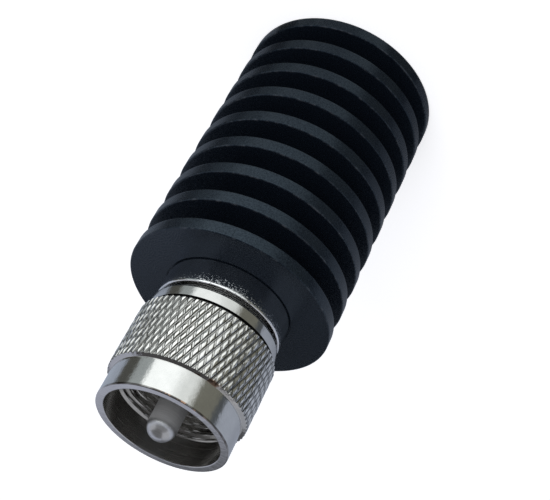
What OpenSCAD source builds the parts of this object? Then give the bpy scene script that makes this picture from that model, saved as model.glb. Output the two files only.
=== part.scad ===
// Coaxial dummy load: a finned heat sink on a screw-on plug with a captive knurled nut.
// Millimetres. The load stands on its flat rear face and its axis runs up +Z to the plug.

/* [Heat sink] */
// Diameter over the fins
sink_d = 29; // [26:0.1:32]
// Number of round fins
fin_count = 9; // [8:1:10]
// Distance from one fin to the next
fin_pitch = 5.15; // [4.7:0.05:5.6]
// Thickness of a fin
fin_t = 1.9; // [1.4:0.05:2.4]
// Bevel on both edges of each fin
fin_bevel = 0.2; // [0.1:0.05:0.4]
// Diameter of the core between the fins
core_d = 18; // [16:0.1:20]

/* [Plug body] */
// Diameter of the round hub against the heat sink
hub_d = 17.8; // [17:0.1:20]
// Height of the hub
hub_h = 3.85; // [2.5:0.05:6]
// Bevel on the hub's front edge
hub_bevel = 0.25; // [0.1:0.05:0.5]
// Diameter of the neck that the nut turns on
neck_d = 14.4; // [14:0.05:14.5]
// Length of the neck, from the hub to the contact shoulder
neck_h = 5.65; // [4.5:0.05:7]
// Diameter of the contact nose
nose_d = 12; // [11.6:0.1:12.6]
// Length of the contact nose
nose_h = 1.6; // [1.2:0.05:2.4]
// Width of the two locating nibs on the contact shoulder
nib_w = 1.6; // [1:0.1:2.4]
// Height of the locating nibs
nib_h = 0.9; // [0.5:0.05:1.1]
// Diameter of the spigot that screws into the heat sink
spigot_d = 13; // [12:0.1:14]
// Length of the spigot
spigot_h = 8; // [6:0.1:10]

/* [Coupling nut] */
// Diameter of the plain collar and the plain front band
nut_d = 18.2; // [17.6:0.05:19]
// Length of the plain rear collar
collar_h = 2.8; // [2.5:0.05:3.6]
// Chamfer on the nut's rear edge
collar_chamfer = 0.45; // [0.2:0.05:0.6]
// Diameter over the knurl
knurl_d = 19.47; // [19.2:0.01:20.2]
// Length of the knurl
knurl_h = 9.15; // [8:0.05:10.5]
// Diamonds around the knurl
knurl_count = 66; // [54:1:72]
// Half rows of diamonds along the knurl
knurl_rows = 7; // [6:1:9]
// Depth of the knurl's grooves
knurl_depth = 0.3; // [0.2:0.01:0.42]
// Share of a diamond's pitch that its flat top takes
knurl_flat = 0.3; // [0.2:0.05:0.6]
// Length of the slope from the knurl to the front band
slope_h = 0.25; // [0.15:0.05:0.5]
// Length of the plain front band
band_h = 4.2; // [3.5:0.05:5.5]
// Bevel on the edges of the nut's mouth
mouth_bevel = 0.12; // [0.05:0.01:0.25]
// Minor diameter of the coupling thread
thread_minor_d = 14.8; // [14.7:0.05:15]
// Diameter of the clear bore behind the coupling thread
relief_d = 16; // [15.9:0.05:16.4]
// Length of the coupling thread
thread_h = 7.4; // [6.5:0.1:7.8]
// Diameter of the plain lead-in bore at the mouth
lead_d = 15.94; // [15.88:0.02:16.3]
// Length of the plain lead-in bore
lead_h = 3.85; // [2.5:0.05:4.2]

/* [Snap ring] */
// Thickness of the ring along the axis
ring_t = 0.8; // [0.5:0.05:0.9]
// Width of the ring's section across the axis
ring_w = 0.9; // [0.7:0.05:1.2]
// Opening of the split ring
ring_split = 3; // [2:0.1:5]
// Length of the nut's lip behind the ring
lip_h = 1.05; // [0.8:0.05:1.2]

/* [Centre pin and insulator] */
// Diameter of the centre pin
pin_d = 3.96; // [3.8:0.01:4.1]
// Length of the pin from the insulator's face to its tip
pin_h = 11.5; // [10:0.1:13]
// Diameter of the pin's stem inside the insulator
stem_d = 3; // [2.4:0.1:3.4]
// Diameter of the pin's tail behind the insulator
tail_d = 2; // [1.4:0.1:2.2]
// Diameter of the insulator
insulator_d = 10.3; // [9.4:0.1:10.6]
// Length of the insulator
insulator_h = 9.7; // [8:0.1:11]
// Depth of the insulator's face below the contact nose
insulator_recess = 0.3; // [0.1:0.05:0.6]

/* [Resistor] */
// Diameter of the ceramic rod
rod_d = 4; // [3.4:0.1:4.6]
// Length of the ceramic rod
rod_h = 20; // [17:0.1:22]
// Wall of the end caps
cap_wall = 0.25; // [0.15:0.05:0.4]
// Thickness of the end caps' closed ends
cap_end = 0.4; // [0.3:0.05:0.6]
// Length of the front cap
front_cap_h = 3; // [2:0.1:4]
// Length of the rear cap
rear_cap_h = 5; // [4:0.1:7]
// Distance of the resistor behind the spigot's hole
resistor_setback = 2; // [1:0.1:3]

/* [Fits] */
// Running gap between the nut's bore and the neck, on the radius
nut_fit = 0.1; // [0.05:0.01:0.15]
// Gap between the hub and the nut's rear face
nut_gap = 0.5; // [0.3:0.05:0.8]
// Gap between the ring and its groove in the nut, along the axis
nut_float = 0.25; // [0.2:0.05:0.35]
// Gap between the ring and its groove in the neck, along the axis
ring_fit = 0.05; // [0.03:0.01:0.1]
// Gap between the ring and the floors of its two grooves, on the radius
ring_room = 0.2; // [0.1:0.05:0.25]
// Gap between a seated inner piece and its bore, on the radius
seat_fit = 0.03; // [0.02:0.01:0.05]
// Gap between the spigot's end and the bottom of its hole
spigot_room = 0.3; // [0.2:0.05:0.6]
// Air gap around the resistor where the chamber is narrowest, on the radius
line_gap = 0.6; // [0.4:0.05:0.8]
// Step between the spigot's hole and the chamber behind it, on the radius
chamber_step = 1.5; // [1:0.1:2]

/* [Hidden] */
$fn = 120;

anodised = "#24272d";
nickel = "#c9c8c3";
bronze = "#b08a52";
ptfe = "#eceae4";
ceramic = "#d8d2c4";
tin = "#a9abad";

// Heights along the axis
sink_h = (fin_count - 1) * fin_pitch + fin_t;
hub_z = sink_h + hub_h;
shoulder_z = hub_z + neck_h;
nose_z = shoulder_z + nose_h;
spigot_z = sink_h - spigot_h;
hole_z = spigot_z - spigot_room;
nut_z = hub_z + nut_gap;
knurl_z = nut_z + collar_h;
slope_z = knurl_z + knurl_h;
band_z = slope_z + slope_h;
mouth_z = band_z + band_h;
lead_z = mouth_z - lead_h;
thread_z = lead_z - thread_h;
insulator_face_z = nose_z - insulator_recess;
insulator_z = insulator_face_z - insulator_h;
pin_tip_z = insulator_face_z + pin_h;
resistor_front_z = hole_z - resistor_setback;
rod_z = resistor_front_z - cap_end - rod_h;
resistor_z = rod_z - cap_end;
chamber_z = resistor_z + rear_cap_h;

// Snap ring and the two grooves that hold it
nut_groove_h = ring_t + 2 * nut_float;
nut_groove_z = nut_z + lip_h;
lip_front_z = nut_groove_z + nut_groove_h + ring_t;
ring_z = nut_groove_z + nut_float;
ring_inner_r = (neck_d - ring_w) / 2;
ring_outer_r = ring_inner_r + ring_w;
nut_bore_r = neck_d / 2 + nut_fit;

// Radii inside the load
cap_r = rod_d / 2 + cap_wall;
seat_r = cap_r + seat_fit;
line_r = cap_r + line_gap;
hole_r = spigot_d / 2 + seat_fit;
chamber_r = hole_r - chamber_step;
insulator_bore_r = insulator_d / 2 + seat_fit;

// Knurl: flat-topped diamonds between two sets of crossing grooves
knurl_step = 360 / knurl_count;
knurl_row_h = knurl_h / knurl_rows;
knurl_top_r = knurl_d / 2;
knurl_floor_r = knurl_top_r - knurl_depth;
// The knurl's ring starts this far inside the nut's wall
knurl_root = 0.5;
knurl_inner_r = nut_d / 2 - knurl_root;
// The slope starts on a short land just under the grooves' floor
land = 0.05;
land_r = knurl_floor_r - land;

function polar(r, a, z) = [r * cos(a), r * sin(a), z];
function floor_angle(k, i) = (i + (k % 2) / 2) * knurl_step;
function row_z(k) = knurl_z + k * knurl_row_h;
function within_knurl(z) = max(knurl_z, min(slope_z, z));

// A ring of diamonds: each row is shifted by half a diamond from the one below.
// A cell has four floor points around it and a flat top with a left, front, right and rear corner.
module knurl_ring() {
    n = knurl_count;
    last = knurl_rows;
    corner_angle = [-1, 0, 1, 0] * knurl_flat * knurl_step / 2;
    corner_z = [0, 1, 0, -1] * knurl_flat * knurl_row_h;
    floors = [for (k = [0:last]) for (i = [0:n - 1])
        polar(knurl_floor_r, floor_angle(k, i), row_z(k))];
    tops = [for (k = [0:last]) for (i = [0:n - 1]) for (c = [0:3])
        polar(knurl_top_r, floor_angle(k, i) + knurl_step / 2 + corner_angle[c],
              within_knurl(row_z(k) + corner_z[c]))];
    inner = [for (k = [0, last]) for (i = [0:n - 1])
        polar(knurl_inner_r, floor_angle(k, i), row_z(k))];

    function f(k, i) = k * n + i % n;
    function t(k, i, c) = len(floors) + f(k, i) * 4 + c;
    function b(end, i) = len(floors) + len(tops) + end * n + i % n;
    // The four floor points of a cell, in the order of the corners
    function around(k, i) = [f(k, i), f(k + 1, i + k % 2), f(k, i + 1), f(k - 1, i + k % 2)];

    flats = [for (k = [0:last]) for (i = [0:n - 1])
        each [[t(k, i, 0), t(k, i, 1), t(k, i, 3)], [t(k, i, 1), t(k, i, 2), t(k, i, 3)]]];
    sides = [for (k = [0:last]) for (i = [0:n - 1])
        for (c = k == 0 ? [0, 1] : k == last ? [2, 3] : [0, 1, 2, 3])
            let (v = around(k, i), d = (c + 1) % 4)
                each [[v[c], v[d], t(k, i, d)], [v[c], t(k, i, d), t(k, i, c)]]];
    rear_end = [for (i = [0:n - 1])
        [f(0, i), t(0, i, 0), t(0, i, 3), t(0, i, 2), f(0, i + 1), b(0, i + 1), b(0, i)]];
    front_end = [for (i = [0:n - 1])
        [b(1, i), b(1, i + 1), f(last, i + 1), t(last, i, 2), t(last, i, 1), t(last, i, 0), f(last, i)]];
    wall = [for (i = [0:n - 1])
        each [[b(0, i), b(0, i + 1), b(1, i)], [b(0, i + 1), b(1, i + 1), b(1, i)]]];
    polyhedron(points = concat(floors, tops, inner),
               faces = concat(flats, sides, rear_end, front_end, wall));
}

// One fin's half section, bevelled on both outer edges
module fin_section(z) {
    r = sink_d / 2;
    polygon([[0, z], [r - fin_bevel, z], [r, z + fin_bevel], [r, z + fin_t - fin_bevel],
             [r - fin_bevel, z + fin_t], [0, z + fin_t]]);
}

// Half section of the hole for the spigot, the tapered chamber and the resistor's seat
module sink_hole_section() {
    polygon([[0, resistor_z], [seat_r, resistor_z], [seat_r, chamber_z], [line_r, chamber_z],
             [chamber_r, hole_z], [hole_r, hole_z], [hole_r, sink_h + 1], [0, sink_h + 1]]);
}

module heat_sink() {
    color(anodised) rotate_extrude() difference() {
        union() {
            square([core_d / 2, sink_h]);
            for (i = [0:fin_count - 1]) fin_section(i * fin_pitch);
        }
        sink_hole_section();
    }
}

// Turned brass body: spigot, hub, grooved neck and contact nose
module plug_body_section() {
    hub_r = hub_d / 2;
    neck_r = neck_d / 2;
    groove_z = ring_z - ring_fit;
    groove_front_z = ring_z + ring_t + ring_fit;
    groove_r = ring_inner_r - ring_room;
    polygon([[line_r, spigot_z], [spigot_d / 2, spigot_z], [spigot_d / 2, sink_h], [hub_r, sink_h],
             [hub_r, hub_z - hub_bevel], [hub_r - hub_bevel, hub_z], [neck_r, hub_z],
             [neck_r, groove_z], [groove_r, groove_z], [groove_r, groove_front_z], [neck_r, groove_front_z],
             [neck_r, shoulder_z], [nose_d / 2, shoulder_z], [nose_d / 2, nose_z], [insulator_bore_r, nose_z],
             [insulator_bore_r, insulator_z], [line_r, insulator_z]]);
}

// Two nibs that key into the notched rim of the mating socket
module locating_nibs() {
    root = 0.2;
    intersection() {
        translate([0, 0, shoulder_z - root]) difference() {
            cylinder(d = neck_d, h = nib_h + root);
            translate([0, 0, -root]) cylinder(d = nose_d - 2 * root, h = nib_h + 3 * root);
        }
        translate([-neck_d, -nib_w / 2, shoulder_z - 2 * root]) cube([2 * neck_d, nib_w, nib_h + 3 * root]);
    }
}

module plug_body() {
    color(nickel) union() {
        rotate_extrude() plug_body_section();
        locating_nibs();
    }
}

// Half section of the nut: collar, knurl seat, slope and band outside; lip, ring groove,
// relief, thread and lead-in inside
module nut_section() {
    r = nut_d / 2;
    thread_r = thread_minor_d / 2;
    groove_r = ring_outer_r + ring_room;
    groove_front_z = nut_groove_z + nut_groove_h;
    polygon([[nut_bore_r, nut_z], [r - collar_chamfer, nut_z], [r, nut_z + collar_chamfer],
             [r, slope_z - slope_h], [land_r, slope_z - slope_h], [land_r, slope_z + land], [r, band_z],
             [r, mouth_z - mouth_bevel], [r - mouth_bevel, mouth_z], [lead_d / 2 + mouth_bevel, mouth_z],
             [lead_d / 2, mouth_z - mouth_bevel], [lead_d / 2, lead_z], [thread_r, lead_z],
             [thread_r, thread_z], [relief_d / 2, thread_z], [relief_d / 2, lip_front_z],
             [nut_bore_r, lip_front_z], [nut_bore_r, groove_front_z], [groove_r, groove_front_z],
             [groove_r, nut_groove_z], [nut_bore_r, nut_groove_z]]);
}

module coupling_nut() {
    color(nickel) union() {
        rotate_extrude() nut_section();
        knurl_ring();
    }
}

// Split ring that sits in the neck's groove and holds the nut
module snap_ring() {
    color(bronze) translate([0, 0, ring_z]) difference() {
        cylinder(r = ring_outer_r, h = ring_t);
        translate([0, 0, -ring_t]) cylinder(r = ring_inner_r, h = 3 * ring_t);
        translate([0, -ring_split / 2, -ring_t]) cube([neck_d, ring_split, 3 * ring_t]);
    }
}

// Turned pin with a round tip, a stem through the insulator and a tail to the resistor
module centre_pin() {
    pin_r = pin_d / 2;
    dome_z = pin_tip_z - pin_r;
    color(nickel) rotate_extrude() union() {
        translate([0, resistor_front_z]) square([tail_d / 2, insulator_z - resistor_front_z]);
        translate([0, insulator_z]) square([stem_d / 2, insulator_h]);
        translate([0, insulator_face_z]) square([pin_r, dome_z - insulator_face_z]);
        intersection() {
            translate([0, dome_z]) circle(r = pin_r);
            translate([0, dome_z]) square(pin_r);
        }
    }
}

module insulator() {
    color(ptfe) translate([0, 0, insulator_z]) difference() {
        cylinder(d = insulator_d, h = insulator_h);
        translate([0, 0, -1]) cylinder(d = stem_d + 2 * seat_fit, h = insulator_h + 2);
    }
}

module resistor_rod() {
    color(ceramic) translate([0, 0, rod_z]) cylinder(d = rod_d, h = rod_h);
}

// End cap of the resistor: a cup with its closed end at z = 0
module end_cap(h) {
    difference() {
        cylinder(r = cap_r, h = h);
        translate([0, 0, cap_end]) cylinder(d = rod_d + 2 * seat_fit, h = h);
    }
}

module front_cap() {
    color(tin) translate([0, 0, resistor_front_z]) mirror([0, 0, 1]) end_cap(front_cap_h);
}

module rear_cap() {
    color(tin) translate([0, 0, resistor_z]) end_cap(rear_cap_h);
}

heat_sink();
plug_body();
coupling_nut();
snap_ring();
centre_pin();
insulator();
resistor_rod();
front_cap();
rear_cap();
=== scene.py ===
"""Dresses the dummy load: heat sink, plug body, knurled nut, centre pin, insulator, stage and camera."""
import math
import random

import bpy
from mathutils import Matrix, Vector

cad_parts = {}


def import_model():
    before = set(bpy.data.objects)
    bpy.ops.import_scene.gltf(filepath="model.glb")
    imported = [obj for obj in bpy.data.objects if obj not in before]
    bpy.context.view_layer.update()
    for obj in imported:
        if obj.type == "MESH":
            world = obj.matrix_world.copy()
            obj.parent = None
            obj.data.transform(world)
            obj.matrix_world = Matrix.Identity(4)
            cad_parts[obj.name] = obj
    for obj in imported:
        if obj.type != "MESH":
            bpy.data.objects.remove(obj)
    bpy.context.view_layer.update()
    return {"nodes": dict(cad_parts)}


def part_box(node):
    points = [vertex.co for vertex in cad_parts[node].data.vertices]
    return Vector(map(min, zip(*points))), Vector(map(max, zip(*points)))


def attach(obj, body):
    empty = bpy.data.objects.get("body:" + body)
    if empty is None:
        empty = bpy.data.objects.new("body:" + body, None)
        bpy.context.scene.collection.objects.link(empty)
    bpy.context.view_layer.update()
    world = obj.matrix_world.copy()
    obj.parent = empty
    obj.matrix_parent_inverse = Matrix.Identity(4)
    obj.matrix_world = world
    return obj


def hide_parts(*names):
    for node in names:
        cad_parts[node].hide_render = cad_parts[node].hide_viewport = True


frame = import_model()
MM = 0.001

# Tilts of the knurl's diamonds, drawn as they are first asked for
random.seed(7)
TILTS = {}

# Sizes in millimetres. What the frame gives is read from it further down.
# A name that ends in EDGE is a fillet.

# Heat sink. FOOT_GROOVE is the groove round the hub's foot: inner radius, outer radius, depth.
FIN_COUNT = 9
FIN_T = 1.9
FIN_EDGE = 0.22
FIN_ROOT_EDGE = 0.25
CORE_R = 9.0
HOLE_R = 6.53
CHAMBER_R = 5.03
LINE_R = 2.85
SEAT_R = 2.28
FOOT_GROOVE = (8.75, 9.04, 0.15)
FOOT_GROOVE_EDGE = 0.08

# Plug body. RIM_GROOVE is the thin groove on the hub's front face: its depth, the width of a wall and the
# width of its floor.
SPIGOT_R = 6.5
SPIGOT_ROOM = 0.3
SPIGOT_EDGE = 0.2
HUB_R = 8.9
HUB_EDGE = 0.55
HUB_FOOT = 0.1
HUB_FOOT_EDGE = 0.05
RIM_INSET = 0.03
RIM_GROOVE = (0.12, 0.05, 0.12)
NECK_R = 7.2
NECK_H = 5.65
NECK_EDGE = 0.1
NECK_GROOVE_R = 6.55
RING_FIT = 0.05
NOSE_R = 6.0
NOSE_H = 1.6
NOSE_FOOT_EDGE = 0.05
NOSE_EDGE = 0.15
BORE_R = 5.18
BORE_EDGE = 0.1
NIB_W = 1.6
NIB_H = 0.9
NIB_INSET = 0.15

# Coupling nut. SEAM is the step between two rings where one finish ends and the next begins.
NUT_R = 9.1
NUT_BORE_R = 7.3
NUT_BORE_EDGE = 0.15
COLLAR_H = 2.8
COLLAR_CHAMFER = 0.45
CHAMFER_FOOT_EDGE = 0.1
CHAMFER_HEAD_EDGE = 0.15
LIP_H = 1.05
NUT_GROOVE_R = 7.85
NUT_GROOVE_H = 1.3
FRONT_LIP_H = 0.8
RELIEF_R = 8.0
SLOPE_H = 0.25
MOUTH_EDGE = 0.14
LEAD_R = 7.97
LEAD_H = 3.85
SEAM = 0.02

# Coupling thread. Crest and flank are shares of the pitch, the crest's counted from its middle.
THREAD_H = 7.4
THREAD_PITCH = 25.4 / 24
THREAD_MINOR_R = 7.4
THREAD_DEPTH = 0.541 * THREAD_PITCH
THREAD_CREST = 0.125
THREAD_FLANK = 0.3125
RUN_OUT_SLOPE = 1.2
RUN_OUT_STEP = 0.05

# Knurl. Its two families of grooves rise at their own rates, in grooves per millimetre. The first leaves
# leaning ridges, and the second cuts them into diamonds. Floors, slopes, walls and the lines of painted
# shade along the grooves are shares of a groove's pitch, and cross depth, crown, tilt and end are shares
# of the depth. KNURL_RELIEF is the turned relief behind the knurl, as depth and length. The tones are the
# plate's brightness in the relief, where shade is painted, and on the slope to the front band, which is
# darker, 1 being the plain plate.
KNURL_H = 9.15
KNURL_COUNT = 66
KNURL_ROWS = 7
KNURL_DEPTH = 0.185
KNURL_RISE = (0.405, 0.32)
KNURL_END = 0.75
KNURL_CROWN = 0.22
KNURL_TILT = 0.25
RIDGE_FLOOR = 0.16
RIDGE_BACK = 0.2
RIDGE_FRONT = 0.4
CROSS_FLOOR = 0.16
CROSS_WALL = 0.2
CROSS_DEPTH = 0.5
GROOVE_SHADE_PLACE = (0.11, 0.13)
GROOVE_SHADE_REACH = (0.155, 0.12)
KNURL_RELIEF = (0.3, 0.8)
RELIEF_SHADE_TONE = 0.08
SLOPE_TONE = 0.7

# Centre pin and insulator
PIN_STEM_R = 1.5
PIN_TAIL_R = 1.0
INSULATOR_HOLE_R = 1.53
INSULATOR_EDGE = 0.1
INSULATOR_FRONT_EDGE = 0.25

# Wear and painted light. FIN_HIGHLIGHT says how far in from the fins' rim their painted edge highlight
# begins and is full. MOUTH_SHADE_AND_WEAR and NUT_SIDE_SHADE_AND_WEAR say the same, from the mouth and
# from the nut's side, for the painted dark line and the worn specks along the mouth's edge. WORN_X is the
# range of x in which the nut's front edges have rubbed most, and SHADE_AND_WEAR_Y the range of y over which
# the painted line and the wear fade out. RING_SHADE, the painted shade on the neck, is counted from the
# unshaded ring, HUB_PITS from the hub's front face, HUB_HIGHLIGHT, the painted highlight, in fillets of the
# hub's edge, and TIP_BLEND from the foot of the pin's dome.
FIN_HIGHLIGHT = (0.3, 0.1)
FIN_HIGHLIGHT_LINE = 0.02
MOUTH_SHADE_AND_WEAR = (0.28, 0.18)
NUT_SIDE_SHADE_AND_WEAR = (0.16, 0.12)
KNURL_WEAR = 0.25
WORN_X = (-3.4, 1.8)
SHADE_AND_WEAR_Y = (-5, -2)
WORN_FADE = 1
UNSHADED_RING_R = 7.94
RING_SHADE = (0.12, 0.19)
GAP_SHADE = 0.1
HUB_PITS = 2.0
HUB_HIGHLIGHT = (1.4, 0.8)
TIP_BLEND = (-0.1, 0.3)

# Studio cards that the metal mirrors. The ring of cards stands round the object like a bowl, from a foot to a
# head given as (radius, height). Each card has the azimuth where it starts, counted from -Y towards +X, the
# width of the blur there, a colour, and the share of it that is left at the foot. Near the object the cards'
# edges bend, so that they mirror as straight edges.
CARD_FOOT = (14.6, 0.02)
CARD_HEAD = (140, 75)
CARD_RINGS = 24
CARD_STEPS = 180
SHADE_REACH = 45
RING_CARDS = (
    (-210, 5, (0.30, 0.33, 0.40), 0.5),
    (-135, 30, (0.37, 0.41, 0.49), 0.4),
    (-80, 5, (0.08, 0.09, 0.10), 0.55),
    (-65, 8, (0.185, 0.187, 0.16), 0.55),
    (-22, 14, (0.92, 0.97, 0.97), 0.5),
    (9, 20, (1.32, 1.39, 1.41), 0.2),
    (65, 8, (0.36, 0.40, 0.41), 0.55),
    (92, 6, (0.085, 0.087, 0.08), 0.55),
    (123, 10, (0.37, 0.42, 0.51), 0.5),
)
UPPER_HEAD = (150, 120)
UPPER_STEPS = 60
UPPER_TONE = (0.48, 0.51, 0.60)

# Flat cards and flags: both ends in x, then the foot and the head as (y, height). The back card's colour
# runs from its first tone to its second while the place along BACK_SLANT runs through BACK_SPAN.
BACK_CARD = (-45, 110, (60, 62), (80, 180))
BACK_SLANT = (0.68, 0, 0.99)
BACK_SPAN = (80, 103)
BACK_TONES = ((0.09, 0.095, 0.105), (0.42, 0.445, 0.54))
SIDE_CARD = (-110, -45, (60, 62), (80, 180))
SIDE_TONE = (0.36, 0.38, 0.43)
FRONT_FLAG = (-320, 320, (-260, 60), (-200, 400))
FRONT_TONE = (0.14, 0.14, 0.15)
OVER_FLAG = (-110, 230, (-200, 400), (160, 260))
OVER_TONE = (0.08, 0.08, 0.085)

# Floor, world and lamp, in metres and watts
FLOOR_HALF = 3.0
FLOOR_COLOUR = (0.85, 0.85, 0.86, 1)
FLOOR_GLOW = 0.6
WORLD_COLOUR = (0.90, 0.92, 1.0, 1)
WORLD_STRENGTH = 0.5
KEY_AT = (0.25, -0.55, 0.25)
KEY_AIM = (0, 0, 0.04)
KEY_SIZE = 0.5
KEY_WATTS = 2.2

# Mesh fineness. HOLD is the gap from a fillet to the point that keeps the wall beside it flat, FILLET_SHARE
# the largest share of a wall that a fillet takes, and ON_AXIS the radius under which a ring is one point.
TURN = 198
SINK_TURN = 216
PIN_TURN = 96
INSULATOR_TURN = 128
DOME_STEPS = 14
KNURL_CELL = 15
THREAD_CELL = 14
ARC_STEPS = 3
HOLD = 0.03
FILLET_SHARE = 0.45
ON_AXIS = 1e-6
SHARP_DEG = 32
KNURL_SHARP_DEG = 17

# Camera, found by fitting the photograph's outline, in millimetres and degrees. CAMERA_CLIP is in metres.
CAMERA_AT = (0.0, -137.81, 129.03)
CAMERA_TARGET = (-2.31, 0.0, 31.73)
CAMERA_ROLL = 152.58
CAMERA_LENS = 79.35
CAMERA_SENSOR = 36.0
CAMERA_CLIP = (0.005, 20)


def top(node):
    """Height of a node's top in millimetres."""
    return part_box(node)[1].z / MM


def bottom(node):
    """Height of a node's bottom in millimetres."""
    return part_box(node)[0].z / MM


def outer(node):
    """A round node's outer radius in millimetres."""
    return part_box(node)[1].x / MM


SINK_R = outer("heat_sink")
SINK_H = top("heat_sink")
FIN_PITCH = (SINK_H - FIN_T) / (FIN_COUNT - 1)
SPIGOT_Z = bottom("plug_body")
HOLE_Z = SPIGOT_Z - SPIGOT_ROOM
SEAT_Z = bottom("rear_cap")
CHAMBER_Z = top("rear_cap")
NECK_GROOVE_Z = bottom("snap_ring") - RING_FIT
NECK_GROOVE_TOP_Z = top("snap_ring") + RING_FIT
NUT_Z = bottom("coupling_nut")
MOUTH_Z = top("coupling_nut")
NUT_GROOVE_Z = NUT_Z + LIP_H
NUT_GROOVE_TOP_Z = NUT_GROOVE_Z + NUT_GROOVE_H
LIP_FRONT_Z = NUT_GROOVE_TOP_Z + FRONT_LIP_H
KNURL_R = outer("coupling_nut")
KNURL_Z = NUT_Z + COLLAR_H
SLOPE_Z = KNURL_Z + KNURL_H
BAND_Z = SLOPE_Z + SLOPE_H
LEAD_Z = MOUTH_Z - LEAD_H
THREAD_Z = LEAD_Z - THREAD_H
PIN_R = outer("centre_pin")
PIN_TIP_Z = top("centre_pin")
PIN_DOME_Z = PIN_TIP_Z - PIN_R
PIN_TAIL_Z = bottom("centre_pin")
INSULATOR_R = outer("insulator")
INSULATOR_Z = bottom("insulator")
INSULATOR_TOP_Z = top("insulator")
NOSE_Z = top("plug_body")
SHOULDER_Z = NOSE_Z - NOSE_H
HUB_Z = SHOULDER_Z - NECK_H


# Mesh helpers

def rounded(points):
    """Outline of (radius, height, fillet) corners. Points beside each fillet's arc keep the walls flat."""
    out = []
    count = len(points)
    for i, (r, z, fillet) in enumerate(points):
        here = Vector((r, z))
        if not fillet:
            out.append((r, z))
            continue
        before = Vector(points[i - 1][:2]) - here
        after = Vector(points[(i + 1) % count][:2]) - here
        reach = min(fillet, before.length * FILLET_SHARE, after.length * FILLET_SHARE)
        hold = reach + min(HOLD, (before.length - 2 * reach) / 3, (after.length - 2 * reach) / 3)
        start = here + before.normalized() * reach
        end = here + after.normalized() * reach
        out.append(tuple(here + before.normalized() * hold))
        for step in range(ARC_STEPS + 1):
            t = step / ARC_STEPS
            out.append(tuple(start * (1 - t) ** 2 + here * 2 * t * (1 - t) + end * t ** 2))
        out.append(tuple(here + after.normalized() * hold))
    return out


def ring_points(radius, z, count):
    """A ring of points; radius and z may be numbers or functions of the angle."""
    points = []
    for i in range(count):
        a = 2 * math.pi * i / count
        r = radius(a) if callable(radius) else radius
        h = z(a) if callable(z) else z
        points.append((r * math.cos(a), r * math.sin(a), h))
    return points


class Shell:
    """Collects rings of points and the faces between them, then becomes one object."""

    def __init__(self, name):
        self.name = name
        self.points = []
        self.faces = []
        self.slots = []
        self.height = []
        self.shine = []

    def point(self, place, height=1.0, shine=1.0):
        """Adds a point, given in millimetres, with its height on the knurl and its brightness."""
        self.points.append(tuple(c * MM for c in place))
        self.height.append(height)
        self.shine.append(shine)

    def ring(self, radius, z, count, height=None, shine=None):
        """Adds a ring of points, or one point on the axis. Height and shine are functions of the angle."""
        if not callable(radius) and radius < ON_AXIS:
            count = 1
        first = len(self.points)
        for i, place in enumerate(ring_points(radius, z, count)):
            a = 2 * math.pi * i / count
            self.point(place, height(a) if height else 1.0, shine(a) if shine else 1.0)
        return list(range(first, first + count))

    def face(self, corners, slot):
        """Adds a face in one of the material slots."""
        self.faces.append(corners)
        self.slots.append(slot)

    def bridge(self, a, b, slot=0):
        """Faces between two rings, where one may have a whole multiple of the other's points."""
        few = min(len(a), len(b))
        if few == 1:
            for i in range(max(len(a), len(b))):
                if len(a) == 1:
                    self.face((a[0], b[(i + 1) % len(b)], b[i]), slot)
                else:
                    self.face((a[i], a[(i + 1) % len(a)], b[0]), slot)
            return
        per_a = len(a) // few
        per_b = len(b) // few
        for i in range(few):
            row_a = [a[(i * per_a + k) % len(a)] for k in range(per_a + 1)]
            row_b = [b[(i * per_b + k) % len(b)] for k in range(per_b + 1)]
            self.face(tuple(row_a + row_b[::-1]), slot)

    def crease(self, a, b, middle, slot):
        """Triangles between two rings, split along the diagonal that lies closer to the surface's middle."""
        count = len(a)
        for i in range(count):
            k = (i + 1) % count
            here = middle(2 * math.pi * (i + 0.5) / count)
            rising = (self.height[a[i]] + self.height[b[k]]) / 2
            falling = (self.height[a[k]] + self.height[b[i]]) / 2
            if abs(rising - here) <= abs(falling - here):
                self.face((a[i], a[k], b[k]), slot)
                self.face((a[i], b[k], b[i]), slot)
            else:
                self.face((a[i], a[k], b[i]), slot)
                self.face((a[k], b[k], b[i]), slot)

    def lathe(self, outline, count, slot=0, closed=True):
        """Turns an outline of (radius, height) points round the axis."""
        rings = [self.ring(r, z, count) for r, z in outline]
        pairs = list(zip(rings, rings[1:]))
        if closed:
            pairs.append((rings[-1], rings[0]))
        for a, b in pairs:
            if len(a) > 1 or len(b) > 1:
                self.bridge(a, b, slot)
        return rings

    def build(self, materials, sharp_deg=SHARP_DEG):
        """Makes the object, smooth except where its faces meet at more than the sharp angle."""
        mesh = bpy.data.meshes.new(self.name)
        mesh.from_pydata(self.points, [], self.faces)
        for m in materials:
            mesh.materials.append(m)
        mesh.polygons.foreach_set("material_index", self.slots)
        mesh.polygons.foreach_set("use_smooth", [True] * len(mesh.polygons))
        mesh.set_sharp_from_angle(angle=math.radians(sharp_deg))
        layer = mesh.attributes.new("shine", "FLOAT", "POINT")
        layer.data.foreach_set("value", self.shine)
        mesh.update()
        obj = bpy.data.objects.new(self.name, mesh)
        bpy.context.scene.collection.objects.link(obj)
        return obj


# Material helpers

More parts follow.
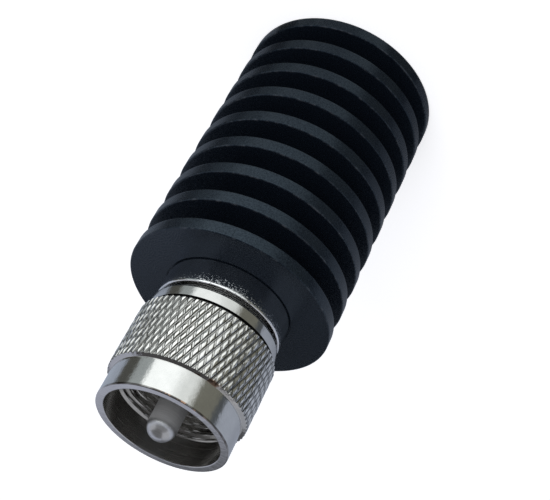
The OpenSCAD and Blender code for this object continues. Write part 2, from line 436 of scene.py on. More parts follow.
class Nodes:
    """A material's node tree with short calls for the nodes that the finishes share."""

    def __init__(self, name):
        self.material = bpy.data.materials.new(name)
        self.material.use_nodes = True
        self.tree = self.material.node_tree
        self.shader = self.tree.nodes["Principled BSDF"]
        coordinates = self.add("ShaderNodeTexCoord")
        scaled = self.add("ShaderNodeVectorMath", operation="SCALE")
        self.link(coordinates.outputs["Object"], scaled.inputs[0])
        scaled.inputs["Scale"].default_value = 1 / MM
        self.position = scaled.outputs[0]

    def add(self, kind, **settings):
        """A new node of a kind, with its settings."""
        made = self.tree.nodes.new(kind)
        for key, value in settings.items():
            setattr(made, key, value)
        return made

    def link(self, source, target):
        """Joins two sockets."""
        self.tree.links.new(source, target)

    def noise(self, scale, detail=3.0, roughness=0.55, position=None):
        """Smooth noise over the place in millimetres, or over other coordinates."""
        made = self.add("ShaderNodeTexNoise")
        self.link(position or self.position, made.inputs["Vector"])
        made.inputs["Scale"].default_value = scale
        made.inputs["Detail"].default_value = detail
        made.inputs["Roughness"].default_value = roughness
        return made.outputs["Fac"]

    def ramp(self, source, low, high, dark, light):
        """A colour that runs from dark to light as the source goes from low to high."""
        made = self.add("ShaderNodeValToRGB")
        made.color_ramp.elements[0].position = low
        made.color_ramp.elements[1].position = high
        made.color_ramp.elements[0].color = (*dark, 1)
        made.color_ramp.elements[1].color = (*light, 1)
        self.link(source, made.inputs[0])
        return made.outputs[0]

    def remap(self, source, low, high, to_low, to_high):
        """A value that runs from to_low to to_high as the source goes from low to high."""
        made = self.add("ShaderNodeMapRange")
        self.link(source, made.inputs["Value"])
        made.inputs["From Min"].default_value = low
        made.inputs["From Max"].default_value = high
        made.inputs["To Min"].default_value = to_low
        made.inputs["To Max"].default_value = to_high
        return made.outputs[0]

    def math(self, operation, a, b=None):
        """A math node on one or two values, each a socket or a number."""
        made = self.add("ShaderNodeMath", operation=operation)
        for socket, value in zip(made.inputs, (a, b)):
            if value is None:
                continue
            if isinstance(value, (int, float)):
                socket.default_value = value
            else:
                self.link(value, socket)
        return made.outputs[0]

    def product(self, first, *others):
        """All the values multiplied."""
        for other in others:
            first = self.math("MULTIPLY", first, other)
        return first

    def mix(self, factor, a, b):
        """Mixes two colours, each a socket or a plain colour."""
        made = self.add("ShaderNodeMix", data_type="RGBA")
        self.link(factor, made.inputs[0])
        for socket, value in ((made.inputs[6], a), (made.inputs[7], b)):
            if isinstance(value, tuple):
                socket.default_value = (*value, 1)
            else:
                self.link(value, socket)
        return made.outputs[2]

    def turned(self, along, around):
        """Coordinates that run fast along and out from the axis and slowly around it, for turning marks."""
        angle = self.math("ARCTAN2", self.axis(1), self.axis(0))
        made = self.add("ShaderNodeCombineXYZ")
        self.link(self.product(self.from_axis(), along), made.inputs[0])
        self.link(self.product(angle, around), made.inputs[1])
        self.link(self.product(self.along(), along), made.inputs[2])
        return made.outputs[0]

    def axis(self, index):
        """One coordinate of the place in millimetres."""
        parts = self.add("ShaderNodeSeparateXYZ")
        self.link(self.position, parts.inputs[0])
        return parts.outputs[index]

    def along(self):
        """Height along the object's axis in millimetres."""
        return self.axis(2)

    def from_axis(self):
        """Distance from the object's axis in millimetres."""
        flat = self.add("ShaderNodeVectorMath", operation="MULTIPLY")
        self.link(self.position, flat.inputs[0])
        flat.inputs[1].default_value = (1, 1, 0)
        length = self.add("ShaderNodeVectorMath", operation="LENGTH")
        self.link(flat.outputs[0], length.inputs[0])
        return length.outputs["Value"]

    def bump(self, height, strength, distance_mm):
        """Raises the shader's surface by a height."""
        made = self.add("ShaderNodeBump")
        made.inputs["Strength"].default_value = strength
        made.inputs["Distance"].default_value = distance_mm * MM
        self.link(height, made.inputs["Height"])
        self.link(made.outputs[0], self.shader.inputs["Normal"])

    def set(self, socket, value):
        """Links or writes a value to one of the shader's sockets."""
        target = self.shader.inputs[socket]
        if isinstance(value, bpy.types.NodeSocket):
            self.link(value, target)
        elif isinstance(value, tuple):
            target.default_value = (*value, 1)
        else:
            target.default_value = value


def fin_edge_highlight(n):
    """Painted highlight: lighter patches along the front edges of the fins."""
    over_edge = n.math("PINGPONG", n.math("SUBTRACT", n.along(), FIN_T), FIN_PITCH / 2)
    at_edge = n.remap(over_edge, FIN_HIGHLIGHT_LINE, FIN_EDGE, 1.0, 0.0)
    outside = n.remap(n.from_axis(), SINK_R - FIN_HIGHLIGHT[0], SINK_R - FIN_HIGHLIGHT[1], 0.0, 1.0)
    patch = n.remap(n.noise(0.9, 4.0, 0.7), 0.48, 0.68, 0.0, 0.9)
    return n.product(at_edge, outside, patch)


def anodised_black():
    """Bead-blasted aluminium under black anodising."""
    n = Nodes("anodised_black")
    grain = n.noise(4.5, 3.0, 0.65)
    cloud = n.noise(0.12, 2.0)
    base = n.ramp(grain, 0.38, 0.66, (0.0052, 0.0078, 0.0125), (0.0074, 0.0107, 0.0165))
    shaded = n.mix(cloud, base, (0.005, 0.0074, 0.0122))
    # Painted highlight along the fins' front edges.
    n.set("Base Color", n.mix(fin_edge_highlight(n), shaded, (0.055, 0.06, 0.068)))
    n.set("Roughness", n.remap(grain, 0.35, 0.65, 0.19, 0.38))
    # Painted reflection tint: the bluish specular tint stands in for bluish surroundings mirrored in the
    # black.
    n.set("Specular Tint", (0.62, 0.83, 1.0))
    n.set("Specular IOR Level", n.remap(grain, 0.36, 0.64, 0.30, 0.68))
    n.bump(n.noise(3.6, 1.5), 0.4, 0.016)
    return n.material


def nickel(name, base, shade, roughness, marks, waves):
    """Bright nickel plate with fine turning marks; on the mouth's outer edge, painted shade and brass specks.
    """
    n = Nodes(name)
    streak = n.noise(1.0, 3.0, position=n.turned(9.0, 0.7))
    cloud = n.noise(0.6, 3.0)
    plate = n.ramp(cloud, 0.35, 0.7, shade, base)
    # Painted shade: a near-black line along the mouth's outer edge on the -Y side, with specks worn through
    # to brass.
    at_edge = n.remap(n.along(), MOUTH_Z - MOUTH_SHADE_AND_WEAR[0], MOUTH_Z - MOUTH_SHADE_AND_WEAR[1], 0.0, 1.0)
    outside = n.remap(n.from_axis(), NUT_R - NUT_SIDE_SHADE_AND_WEAR[0], NUT_R - NUT_SIDE_SHADE_AND_WEAR[1], 0.0, 1.0)
    patch = n.remap(n.noise(0.5, 2.0), 0.42, 0.58, 0.6, 0.95)
    edge_mark = n.product(at_edge, outside, patch, shaded_and_worn_side(n))
    speck = n.product(n.remap(n.noise(0.9, 2.0), 0.52, 0.58, 0.0, 1.0), worn_stretch(n))
    wave = n.noise(1.0, 2.0, position=n.turned(1.2, 12.0))
    n.set("Metallic", 1.0)
    n.set("Base Color", n.mix(edge_mark, plate, n.mix(speck, (0.06, 0.05, 0.045), (0.45, 0.27, 0.17))))
    n.set("Roughness", n.remap(streak, 0.3, 0.7, roughness * 0.75, roughness * 1.3))
    height = n.math("ADD", n.product(streak, marks), n.product(wave, waves))
    n.bump(height, 1.0, 0.004)
    return n.material


def nickel_bright():
    """The nut's smooth plate, with waves that break up what it mirrors."""
    base = (0.75, 0.735, 0.71)
    shade = (0.68, 0.67, 0.65)
    return nickel("nickel_bright", base, shade, roughness=0.13, marks=0.12, waves=5.0)


def nickel_bore():
    """The darker plate of the nut's threaded bore."""
    base = (0.62, 0.61, 0.58)
    shade = (0.52, 0.51, 0.48)
    return nickel("nickel_bore", base, shade, roughness=0.22, marks=0.03, waves=0.0)


def nickel_neck():
    """Satin nickel with painted shade where the nut almost meets the hub, except on one unshaded ring."""
    n = Nodes("nickel_neck")
    grain = n.noise(3.0, 3.0)
    # Painted shade in the gap under the nut: dark away from one ring, from just outside the nut's bore
    # outward.
    away = n.math("ABSOLUTE", n.math("SUBTRACT", n.from_axis(), UNSHADED_RING_R))
    painted_shade = n.remap(away, *RING_SHADE, 0.0, 0.93)
    in_gap = n.remap(n.from_axis(), NUT_BORE_R, NUT_BORE_R + GAP_SHADE, 0.0, 1.0)
    plate = n.ramp(grain, 0.35, 0.7, (0.56, 0.56, 0.55), (0.66, 0.66, 0.65))
    n.set("Metallic", 1.0)
    n.set("Base Color", n.mix(n.product(painted_shade, in_gap), plate, (0.02, 0.018, 0.016)))
    n.set("Roughness", n.remap(grain, 0.3, 0.7, 0.36, 0.55))
    n.bump(grain, 0.2, 0.006)
    return n.material


def shaded_and_worn_side(n):
    """One on the -Y side of the nut, where its edges carry painted shade and wear, fading out round the
    sides.
    """
    return n.remap(n.axis(1), *SHADE_AND_WEAR_Y, 1.0, 0.0)


def worn_stretch(n):
    """One along the stretch of the nut's edges that has rubbed most, and nothing elsewhere."""
    low, high = WORN_X
    from_low = n.remap(n.axis(0), low - WORN_FADE, low, 0.0, 1.0)
    to_high = n.remap(n.axis(0), high, high + WORN_FADE, 1.0, 0.0)
    return n.product(from_low, to_high, shaded_and_worn_side(n))


def nickel_knurl():
    """Nickel on the knurl, worn to brass in a few specks at the front edge, with painted shade along the
    grooves.
    """
    n = Nodes("nickel_knurl")
    shine = n.add("ShaderNodeAttribute", attribute_name="shine").outputs["Fac"]
    fine = n.noise(6.0, 3.0)
    at_edge = n.remap(n.along(), SLOPE_Z - KNURL_WEAR, SLOPE_Z, 0.0, 1.0)
    patch = n.remap(n.noise(0.8, 2.0), 0.54, 0.62, 0.0, 1.0)
    edge_mark = n.product(at_edge, patch, worn_stretch(n))
    plate = n.mix(edge_mark, (0.97, 0.95, 0.91), (0.45, 0.30, 0.21))
    n.set("Metallic", 1.0)
    # Painted shade: where the shine attribute is low, along the grooves and in the relief, the plate goes
    # near black; the slope is darker too.
    n.set("Base Color", n.mix(shine, (0.01, 0.01, 0.01), plate))
    n.set("Roughness", n.remap(fine, 0.3, 0.7, 0.03, 0.07))
    n.bump(fine, 0.6, 0.02)
    return n.material


def nickel_hub():
    """Polished nickel with sparkling pits just below its rounded edge, where a highlight is painted."""
    n = Nodes("nickel_hub")
    near_edge = n.remap(n.along(), HUB_Z - HUB_PITS, HUB_Z - HUB_EDGE, 0.0, 1.0)
    # Painted highlight: the plate on the rounded edge is much paler than on the wall.
    low, high = HUB_HIGHLIGHT
    on_edge = n.remap(n.along(), HUB_Z - low * HUB_EDGE, HUB_Z - high * HUB_EDGE, 0.0, 1.0)
    pits = n.remap(n.noise(4.5, 2.0, 0.6), 0.58, 0.76, 0.0, 1.0)
    cloud = n.noise(0.5, 2.0)
    wall = n.ramp(cloud, 0.35, 0.7, (0.48, 0.50, 0.53), (0.58, 0.60, 0.63))
    n.set("Metallic", 1.0)
    n.set("Base Color", n.mix(on_edge, wall, (0.90, 0.90, 0.90)))
    n.set("Roughness", n.remap(cloud, 0.3, 0.7, 0.04, 0.09))
    n.bump(n.product(pits, near_edge), 1.0, 0.022)
    return n.material


def nickel_pin():
    """Nickel on the pin, dull along its side and smoother on its round tip."""
    n = Nodes("nickel_pin")
    scratch = n.noise(1.0, 3.0, position=n.turned(7.0, 0.8))
    low, high = TIP_BLEND
    n.set("Metallic", n.remap(n.along(), PIN_DOME_Z + low, PIN_DOME_Z + high, 0.66, 0.9))
    n.set("Base Color", n.ramp(scratch, 0.3, 0.7, (0.60, 0.60, 0.59), (0.72, 0.72, 0.71)))
    n.set("Roughness", n.remap(n.along(), PIN_DOME_Z + low, PIN_DOME_Z + high, 0.36, 0.29))
    n.bump(scratch, 0.3, 0.004)
    return n.material


def plain(name, dark, light, metallic, roughness, scale):
    """A mottled colour with a fine grain."""
    n = Nodes(name)
    grain = n.noise(scale, 3.0)
    n.set("Metallic", metallic)
    n.set("Base Color", n.ramp(grain, 0.3, 0.7, dark, light))
    n.set("Roughness", n.remap(grain, 0.3, 0.7, roughness * 0.85, roughness * 1.15))
    n.bump(grain, 0.2, 0.01)
    return n.material


def ptfe():
    """The insulator's turned white plastic."""
    dark = (0.78, 0.77, 0.74)
    light = (0.88, 0.87, 0.85)
    return plain("ptfe_turned", dark, light, metallic=0.0, roughness=0.5, scale=2.0)


def spring_bronze():
    """The snap ring's spring metal."""
    dark = (0.40, 0.26, 0.11)
    light = (0.58, 0.40, 0.20)
    return plain("spring_bronze", dark, light, metallic=1.0, roughness=0.35, scale=3.0)


def ceramic_film():
    """The resistor's film on its ceramic rod."""
    dark = (0.10, 0.09, 0.08)
    light = (0.20, 0.18, 0.16)
    return plain("ceramic_film", dark, light, metallic=0.0, roughness=0.6, scale=4.0)


def tin(name):
    """The dull tin plate of the resistor's caps."""
    dark = (0.50, 0.50, 0.50)
    light = (0.66, 0.66, 0.66)
    return plain(name, dark, light, metallic=1.0, roughness=0.35, scale=3.0)


# Pieces

def heat_sink(material):
    """The core with its round fins, and the holes for the plug and the resistor."""
    shell = Shell("sink_shell")
    corners = [(0, 0, 0)]
    for i in range(FIN_COUNT):
        z = i * FIN_PITCH
        if i:
            corners.append((CORE_R, z, FIN_ROOT_EDGE))
        corners.append((SINK_R, z, FIN_EDGE))
        corners.append((SINK_R, z + FIN_T, FIN_EDGE))
        if i < FIN_COUNT - 1:
            corners.append((CORE_R, z + FIN_T, FIN_ROOT_EDGE))
    inner, wide, deep = FOOT_GROOVE
    corners += [
        (wide, SINK_H, FOOT_GROOVE_EDGE), (wide, SINK_H - deep, 0), (inner, SINK_H - deep, 0),
        (inner, SINK_H, 0), (HOLE_R, SINK_H, 0), (HOLE_R, HOLE_Z, 0), (CHAMBER_R, HOLE_Z, 0),
        (LINE_R, CHAMBER_Z, 0), (SEAT_R, CHAMBER_Z, 0), (SEAT_R, SEAT_Z, 0), (0, SEAT_Z, 0),
    ]
    shell.lathe(rounded(corners), SINK_TURN, closed=False)
    return shell.build([material])


def plug_body(polished, satin):
    """The spigot and the polished hub, then the satin neck, shoulder, nose and bore."""
    shell = Shell("plug_shell")
    rim = HUB_R - HUB_EDGE - RIM_INSET
    deep, wall, floor_w = RIM_GROOVE
    hub = shell.lathe(rounded([
        (LINE_R, SPIGOT_Z, 0), (SPIGOT_R, SPIGOT_Z, SPIGOT_EDGE), (SPIGOT_R, SINK_H, 0),
        (HUB_R - HUB_FOOT, SINK_H, 0), (HUB_R, SINK_H + HUB_FOOT, HUB_FOOT_EDGE), (HUB_R, HUB_Z, HUB_EDGE),
        (rim + SEAM / 2, HUB_Z, 0),
    ]), TURN, 0, closed=False)
    front = shell.lathe(rounded([
        (rim, HUB_Z, 0), (rim - wall, HUB_Z - deep, 0), (rim - wall - floor_w, HUB_Z - deep, 0),
        (rim - 2 * wall - floor_w, HUB_Z, 0), (NECK_R, HUB_Z, NECK_EDGE), (NECK_R, NECK_GROOVE_Z, 0),
        (NECK_GROOVE_R, NECK_GROOVE_Z, 0), (NECK_GROOVE_R, NECK_GROOVE_TOP_Z, 0),
        (NECK_R, NECK_GROOVE_TOP_Z, 0), (NECK_R, SHOULDER_Z, NECK_EDGE),
        (NOSE_R, SHOULDER_Z, NOSE_FOOT_EDGE), (NOSE_R, NOSE_Z, NOSE_EDGE), (BORE_R, NOSE_Z, BORE_EDGE),
        (BORE_R, INSULATOR_Z, 0), (LINE_R, INSULATOR_Z, 0),
    ]), TURN, 1, closed=False)
    shell.bridge(hub[-1], front[0], 1)
    shell.bridge(front[-1], hub[0], 1)
    for side in (-1, 1):
        nib(shell, side)
    return shell.build([polished, satin])


def nib(shell, side):
    """One locating nib: a small block on the contact shoulder."""
    first = len(shell.points)
    near = NOSE_R - NIB_INSET
    for z, cut in ((SHOULDER_Z - NIB_INSET, 0), (SHOULDER_Z + NIB_H, NIB_INSET)):
        far = NECK_R - NIB_INSET - cut
        for r, w in ((near, -1), (far, -1), (far, 1), (near, 1)):
            shell.point((side * r, side * w * (NIB_W / 2 - cut), z))
    for q in ((3, 2, 1, 0), (4, 5, 6, 7), (0, 1, 5, 4), (1, 2, 6, 5), (2, 3, 7, 6), (3, 0, 4, 7)):
        shell.face(tuple(first + k for k in q), 1)


def knurl_place(a, z):
    """Where a point lies across the two families of grooves, whole numbers being the grooves' middles."""
    turn = a / (2 * math.pi) * KNURL_COUNT
    rise = z - KNURL_Z
    return turn - rise * KNURL_RISE[0], turn + rise * KNURL_RISE[1]


def ridge(place):
    """Height across a ridge: a narrow floor, a steep back slope, a flat crest and a longer front slope."""
    away = place % 1.0
    rise = (away - RIDGE_FLOOR / 2) / RIDGE_BACK
    fall = (1 - RIDGE_FLOOR / 2 - away) / RIDGE_FRONT
    return min(1.0, max(0.0, min(rise, fall)))


def cross_wall(place):
    """How far up the wall of the nearest groove across the ridges a point lies, 0 being its floor."""
    away = abs(place - round(place)) - CROSS_FLOOR / 2
    return min(1.0, max(0.0, away / CROSS_WALL))


def knurl_height(a, z):
    """Height of the knurl's surface: leaning ridges, cut into diamonds by shallower grooves across them."""
    p, q = knurl_place(a, z)
    cut = 1 - CROSS_DEPTH * (1 - cross_wall(q))
    tilt_p, tilt_q = diamond_tilt(math.floor(p), math.floor(q))
    off_p = p % 1.0 - 0.5
    off_q = q % 1.0 - 0.5
    crown = 1 - 4 * KNURL_CROWN * (off_p ** 2 + off_q ** 2)
    uneven = 1 + KNURL_TILT * tilt_p
    return min(1.0, ridge(p) * uneven, cut, crown + 2 * KNURL_TILT * (tilt_p * off_p + tilt_q * off_q))


def knurl_shine(a, z):
    """How bright the plate is: 1 on a diamond, least along the walls of a groove, where shade is painted."""
    shine = 1.0
    for place, painted_shade, reach in zip(knurl_place(a, z), GROOVE_SHADE_PLACE, GROOVE_SHADE_REACH):
        from_shade_line = abs(abs(place - round(place)) - painted_shade)
        shine = min(shine, from_shade_line / reach)
    return shine


def diamond_tilt(p, q):
    """How far a diamond's top tilts along its two sides, the same for a diamond each time it is asked."""
    key = ((p + q) % (2 * KNURL_COUNT), q - p)
    if key not in TILTS:
        TILTS[key] = (random.uniform(-1, 1), random.uniform(-1, 1))
    return TILTS[key]


def thread_radius(a, z):
    """Radius of the internal thread's surface, crest at the minor radius, right-handed."""
    phase = (z / THREAD_PITCH - a / (2 * math.pi)) % 1.0
    off = abs(phase - 0.5)
    flank = min(1.0, max(0.0, (off - THREAD_CREST) / THREAD_FLANK))
    radius = THREAD_MINOR_R + THREAD_DEPTH * flank
    lead_in = LEAD_R - (LEAD_Z - z)
    run_out = RELIEF_R - (z - THREAD_Z) * RUN_OUT_SLOPE
    return max(radius, lead_in, run_out)


def knurl_rows(shell, last, slot):
    """The knurl between the collar and the slope, one ring of points after the other."""
    fine = KNURL_COUNT * KNURL_CELL
    floor_r = KNURL_R - KNURL_DEPTH
    steps = KNURL_ROWS * KNURL_CELL // 2
    for k in range(steps + 1):
        z = KNURL_Z + KNURL_H * k / steps
        limit = KNURL_END if k in (0, steps) else 1.0

        def height(a, z=z, limit=limit):
            return min(knurl_height(a, z), limit)

        def shine(a, z=z):
            return knurl_shine(a, z)

        row = shell.ring(lambda a: floor_r + KNURL_DEPTH * height(a), z, fine, height, shine)
        if k:
            between = z - KNURL_H / steps / 2
            shell.crease(last, row, lambda a: knurl_height(a, between), slot)
        else:
            shell.bridge(last, row, slot)
        last = row
    return last


def thread_rows(shell, last, slot):
    """The internal thread from the lead-in down to the relief."""
    steps = int(THREAD_H / THREAD_PITCH * THREAD_CELL)
    for k in range(1, steps + 1):
        z = LEAD_Z - THREAD_H * k / steps
        row = shell.ring(lambda a: thread_radius(a, z), z, TURN)
        shell.bridge(last, row, slot)
        last = row
    return last


def toned_rings(shell, last, places, tone):
    """Plain rings in the knurl's finish, each with the same brightness of plate."""
    for r, z in places:
        row = shell.ring(r, z, TURN, None, lambda a: tone)
        shell.bridge(last, row, 1)
        last = row
    return last


def coupling_nut(smooth, knurled, inner):
    """The collar, the knurl, the slope, the front band and the threaded bore, round to the collar again."""
    shell = Shell("nut_shell")
    relief, relief_h = KNURL_RELIEF
    rear = shell.lathe(rounded([
        (NUT_BORE_R, LIP_FRONT_Z, 0), (NUT_BORE_R, NUT_GROOVE_TOP_Z, 0), (NUT_GROOVE_R, NUT_GROOVE_TOP_Z, 0),
        (NUT_GROOVE_R, NUT_GROOVE_Z, 0), (NUT_BORE_R, NUT_GROOVE_Z, 0), (NUT_BORE_R, NUT_Z, NUT_BORE_EDGE),
        (NUT_R - COLLAR_CHAMFER, NUT_Z, CHAMFER_FOOT_EDGE),
        (NUT_R, NUT_Z + COLLAR_CHAMFER, CHAMFER_HEAD_EDGE), (NUT_R, KNURL_Z - relief_h, 0),
    ]), TURN, 0, closed=False)
    relief_r = NUT_R - relief
    relief_z = KNURL_Z - relief_h
    # Painted shade: the relief behind the knurl gets a near-black plate.
    in_relief = ((NUT_R - SEAM, relief_z), (relief_r, relief_z), (relief_r, KNURL_Z))
    last = toned_rings(shell, rear[-1], in_relief, RELIEF_SHADE_TONE)
    last = knurl_rows(shell, last, 1)
    on_slope = ((KNURL_R - KNURL_DEPTH, SLOPE_Z + 2 * SEAM), (NUT_R + SEAM, BAND_Z - SEAM))
    last = toned_rings(shell, last, on_slope, SLOPE_TONE)
    front = shell.lathe(rounded([
        (NUT_R, BAND_Z, 0), (NUT_R, MOUTH_Z, MOUTH_EDGE), (LEAD_R, MOUTH_Z, MOUTH_EDGE),
        (LEAD_R, MOUTH_Z - 3 * MOUTH_EDGE, 0),
    ]), TURN, 0, closed=False)
    shell.bridge(last, front[0], 1)
    lead = shell.ring(LEAD_R, LEAD_Z, TURN)
    shell.bridge(front[-1], lead, 2)
    last = thread_rows(shell, lead, 2)
    rest = shell.lathe([(RELIEF_R, THREAD_Z - RUN_OUT_STEP), (RELIEF_R, LIP_FRONT_Z)], TURN, 2, closed=False)
    shell.bridge(last, rest[0], 2)
    shell.bridge(rest[-1], rear[0], 2)
    return shell.build([smooth, knurled, inner], KNURL_SHARP_DEG)


def centre_pin(material):
    """The pin with its round tip, and its stem and tail behind the insulator's face."""
    shell = Shell("pin_shell")
    outline = [
        (0, PIN_TAIL_Z), (PIN_TAIL_R, PIN_TAIL_Z), (PIN_TAIL_R, INSULATOR_Z), (PIN_STEM_R, INSULATOR_Z),
        (PIN_STEM_R, INSULATOR_TOP_Z), (PIN_R, INSULATOR_TOP_Z), (PIN_R, PIN_DOME_Z),
    ]
    for k in range(1, DOME_STEPS + 1):
        t = math.pi / 2 * k / DOME_STEPS
        outline.append((PIN_R * math.cos(t), PIN_DOME_Z + PIN_R * math.sin(t)))
    outline[-1] = (0, PIN_TIP_Z)
    shell.lathe(outline, PIN_TURN, closed=False)
    return shell.build([material])


def insulator(material):
    """The bush round the pin's stem."""
    shell = Shell("insulator_shell")
    corners = [
        (INSULATOR_HOLE_R, INSULATOR_Z, 0), (INSULATOR_R, INSULATOR_Z, INSULATOR_EDGE),
        (INSULATOR_R, INSULATOR_TOP_Z, INSULATOR_FRONT_EDGE),
        (INSULATOR_HOLE_R, INSULATOR_TOP_Z, INSULATOR_EDGE),
    ]
    shell.lathe(rounded(corners), INSULATOR_TURN)
    return shell.build([material])


def dress():
    """Builds the shown pieces, gives each its body, hides the CAD node it replaces, and finishes the hidden
    nodes.
    """
    made = [
        (heat_sink(anodised_black()), "load", "heat_sink", "black_anodised"),
        (plug_body(nickel_hub(), nickel_neck()), "load", "plug_body", "nickel_plate"),
        (coupling_nut(nickel_bright(), nickel_knurl(), nickel_bore()), "nut", "coupling_nut", "nickel_plate"),
        (centre_pin(nickel_pin()), "load", "centre_pin", "nickel_plate"),
        (insulator(ptfe()), "load", "insulator", "ptfe"),
    ]
    for piece, body, node, slot in made:
        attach(piece, body)
        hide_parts(node)
    hidden = {
        "snap_ring": spring_bronze(),
        "resistor_rod": ceramic_film(),
        "front_cap": tin("tin_front"),
        "rear_cap": tin("tin_rear"),
    }
    for node, material in hidden.items():
        mesh = frame["nodes"][node].data
        mesh.materials.clear()
        mesh.materials.append(material)


# Stage

def shown_rays(tree):
    """One for camera, glossy and transmission rays, and nothing for the rest."""
    path = tree.nodes.new("ShaderNodeLightPath")
    seen = path.outputs["Is Camera Ray"]
    for name in ("Is Glossy Ray", "Is Transmission Ray"):
        both = tree.nodes.new("ShaderNodeMath")
        both.operation = "MAXIMUM"
        tree.links.new(seen, both.inputs[0])
        tree.links.new(path.outputs[name], both.inputs[1])
        seen = both.outputs[0]
    return seen


def floor():
    """A wide white floor that keeps the object's shadow."""
    mesh = bpy.data.meshes.new("floor")
    low, high = -FLOOR_HALF, FLOOR_HALF
    corners = [(low, low, 0), (high, low, 0), (high, high, 0), (low, high, 0)]
    mesh.from_pydata(corners, [], [(0, 1, 2, 3)])
    material = bpy.data.materials.new("floor_white")
    material.use_nodes = True
    tree = material.node_tree
    shader = tree.nodes["Principled BSDF"]
    shader.inputs["Base Color"].default_value = FLOOR_COLOUR
    shader.inputs["Roughness"].default_value = 0.9
    shader.inputs["Specular IOR Level"].default_value = 0.0
    shader.inputs["Emission Color"].default_value = (1, 1, 1, 1)
    white = tree.nodes.new("ShaderNodeMath")
    white.operation = "MULTIPLY"
    white.inputs[1].default_value = FLOOR_GLOW
    tree.links.new(shown_rays(tree), white.inputs[0])
    tree.links.new(white.outputs[0], shader.inputs["Emission Strength"])
    mesh.materials.append(material)
    obj = bpy.data.objects.new("floor", mesh)
    bpy.context.scene.collection.objects.link(obj)


def world():
    """Even pale light from all round."""
    made = bpy.data.worlds.new("studio")
    bpy.context.scene.world = made
    made.use_nodes = True
    back = made.node_tree.nodes["Background"]
    back.inputs["Color"].default_value = WORLD_COLOUR
    back.inputs["Strength"].default_value = WORLD_STRENGTH


def card_object(name, points, faces, material):
    """A studio card that only reflections show."""
    mesh = bpy.data.meshes.new(name)
    mesh.from_pydata([tuple(c * MM for c in p) for p in points], [], faces)
    mesh.materials.append(material)
    obj = bpy.data.objects.new(name, mesh)
    bpy.context.scene.collection.objects.link(obj)
    obj.visible_camera = False
    obj.visible_diffuse = False
    obj.visible_transmission = False
    obj.visible_shadow = False
    return obj


def flat_card(name, place, material):
    """A four-cornered card between two ends in x, a foot and a head."""
    low, high, foot, head = place
    points = [(low, *foot), (high, *foot), (high, *head), (low, *head)]
    card_object(name, points, [(0, 1, 2, 3)], material)


def glow(name, colour=None):
    """An emission material and its emission node."""
    material = bpy.data.materials.new(name)
    material.use_nodes = True
    tree = material.node_tree
    tree.nodes.remove(tree.nodes["Principled BSDF"])
    lit = tree.nodes.new("ShaderNodeEmission")
    tree.links.new(lit.outputs[0], tree.nodes["Material Output"].inputs[0])
    if colour:
        lit.inputs["Color"].default_value = (*colour, 1)
    return material, lit


def ring_tone(azimuth, radius):
    """Colour of the ring of cards at a place, blurred between two cards and darker at the foot."""
    mirrored = azimuth / (1 - SINK_R / (2 * radius))
    tone = Vector((*RING_CARDS[0][2], RING_CARDS[0][3]))
    for start, blur, colour, foot in RING_CARDS[1:]:
        part = min(1.0, max(0.0, (mirrored - start) / blur + 0.5))
        tone = tone.lerp(Vector((*colour, foot)), part)
    reach = min(1.0, (radius - CARD_FOOT[0]) / SHADE_REACH)
    return tone.xyz * (tone.w + (1 - tone.w) * reach)


def ring_cards():
    """The bowl of cards round the object, coloured point by point."""
    material, lit = glow("ring_cards")
    tones = material.node_tree.nodes.new("ShaderNodeAttribute")
    tones.attribute_name = "tone"
    material.node_tree.links.new(tones.outputs["Color"], lit.inputs["Color"])
    points = []
    colours = []
    faces = []
    row = CARD_RINGS + 1
    for k in range(CARD_STEPS + 1):
        azimuth = -180 + 360 * k / CARD_STEPS
        a = math.radians(azimuth)
        for j in range(row):
            part = (j / CARD_RINGS) ** 2
            r = CARD_FOOT[0] + (CARD_HEAD[0] - CARD_FOOT[0]) * part
            z = CARD_FOOT[1] + (CARD_HEAD[1] - CARD_FOOT[1]) * part
            points.append((r * math.sin(a), -r * math.cos(a), z))
            colours += [*ring_tone(azimuth, r), 1.0]
    for k in range(CARD_STEPS):
        for j in range(CARD_RINGS):
            first = k * row + j
            faces.append((first, first + row, first + row + 1, first + 1))
    obj = card_object("ring_cards", points, faces, material)
    layer = obj.data.attributes.new("tone", "FLOAT_COLOR", "POINT")
    layer.data.foreach_set("color", colours)


def upper_ring():
    """A pale band above the ring of cards."""
    points = []
    for k in range(UPPER_STEPS):
        a = 2 * math.pi * k / UPPER_STEPS
        for r, z in (CARD_HEAD, UPPER_HEAD):
            points.append((r * math.sin(a), -r * math.cos(a), z))
    count = len(points)
    faces = [(i, (i + 2) % count, (i + 3) % count, i + 1) for i in range(0, count, 2)]
    card_object("upper_ring", points, faces, glow("upper_ring", UPPER_TONE)[0])


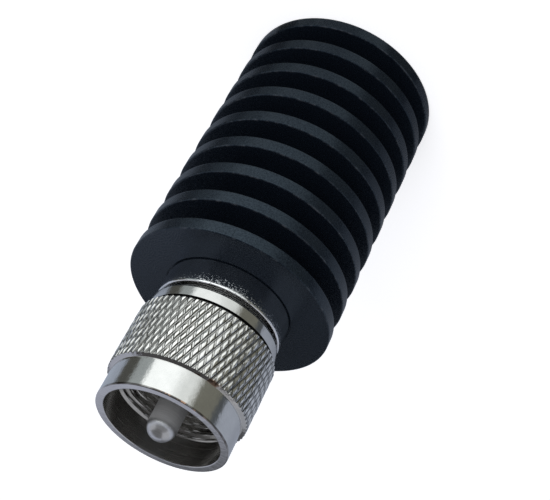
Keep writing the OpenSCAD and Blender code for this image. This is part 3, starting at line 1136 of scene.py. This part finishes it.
def back_card():
    """An upright card behind the plug, paler upwards and towards +X, and a pale card beside it."""
    material, lit = glow("back_card")
    tree = material.node_tree
    place = tree.nodes.new("ShaderNodeTexCoord")
    slant = tree.nodes.new("ShaderNodeVectorMath")
    slant.operation = "DOT_PRODUCT"
    slant.inputs[1].default_value = BACK_SLANT
    tree.links.new(place.outputs["Object"], slant.inputs[0])
    span = tree.nodes.new("ShaderNodeMapRange")
    span.inputs["From Min"].default_value = BACK_SPAN[0] * MM
    span.inputs["From Max"].default_value = BACK_SPAN[1] * MM
    tree.links.new(slant.outputs["Value"], span.inputs["Value"])
    ramp = tree.nodes.new("ShaderNodeValToRGB")
    for element, tone in zip(ramp.color_ramp.elements, BACK_TONES):
        element.color = (*tone, 1)
    tree.links.new(span.outputs[0], ramp.inputs[0])
    tree.links.new(ramp.outputs[0], lit.inputs["Color"])
    flat_card("back_card", BACK_CARD, material)
    flat_card("side_card", SIDE_CARD, glow("side_card", SIDE_TONE)[0])


def upper_flags():
    """Dark flags over the object and behind the camera."""
    flat_card("front_flag", FRONT_FLAG, glow("front_flag", FRONT_TONE)[0])
    flat_card("over_flag", OVER_FLAG, glow("over_flag", OVER_TONE)[0])


def key_lamp():
    """A square lamp that faces the object."""
    lamp = bpy.data.lights.new("key", "AREA")
    lamp.shape = "RECTANGLE"
    lamp.size = KEY_SIZE
    lamp.size_y = KEY_SIZE
    lamp.energy = KEY_WATTS
    obj = bpy.data.objects.new("key", lamp)
    obj.location = Vector(KEY_AT)
    aim = Vector(KEY_AIM) - obj.location
    obj.rotation_euler = aim.to_track_quat("-Z", "Y").to_euler()
    obj.visible_camera = False
    obj.visible_glossy = False
    bpy.context.scene.collection.objects.link(obj)


def camera():
    """The camera at the photograph's place, rolled as the photograph is."""
    data = bpy.data.cameras.new("camera")
    data.lens = CAMERA_LENS
    data.sensor_width = CAMERA_SENSOR
    data.clip_start, data.clip_end = CAMERA_CLIP
    obj = bpy.data.objects.new("camera", data)
    at = Vector(CAMERA_AT) * MM
    look = (Vector(CAMERA_TARGET) * MM - at).to_track_quat("-Z", "Y").to_matrix().to_4x4()
    obj.matrix_world = Matrix.Translation(at) @ look @ Matrix.Rotation(math.radians(-CAMERA_ROLL), 4, "Z")
    bpy.context.scene.collection.objects.link(obj)
    bpy.context.scene.camera = obj


camera()
dress()
floor()
world()
ring_cards()
upper_ring()
back_card()
upper_flags()
key_lamp()
bpy.context.scene.view_settings.view_transform = "Standard"
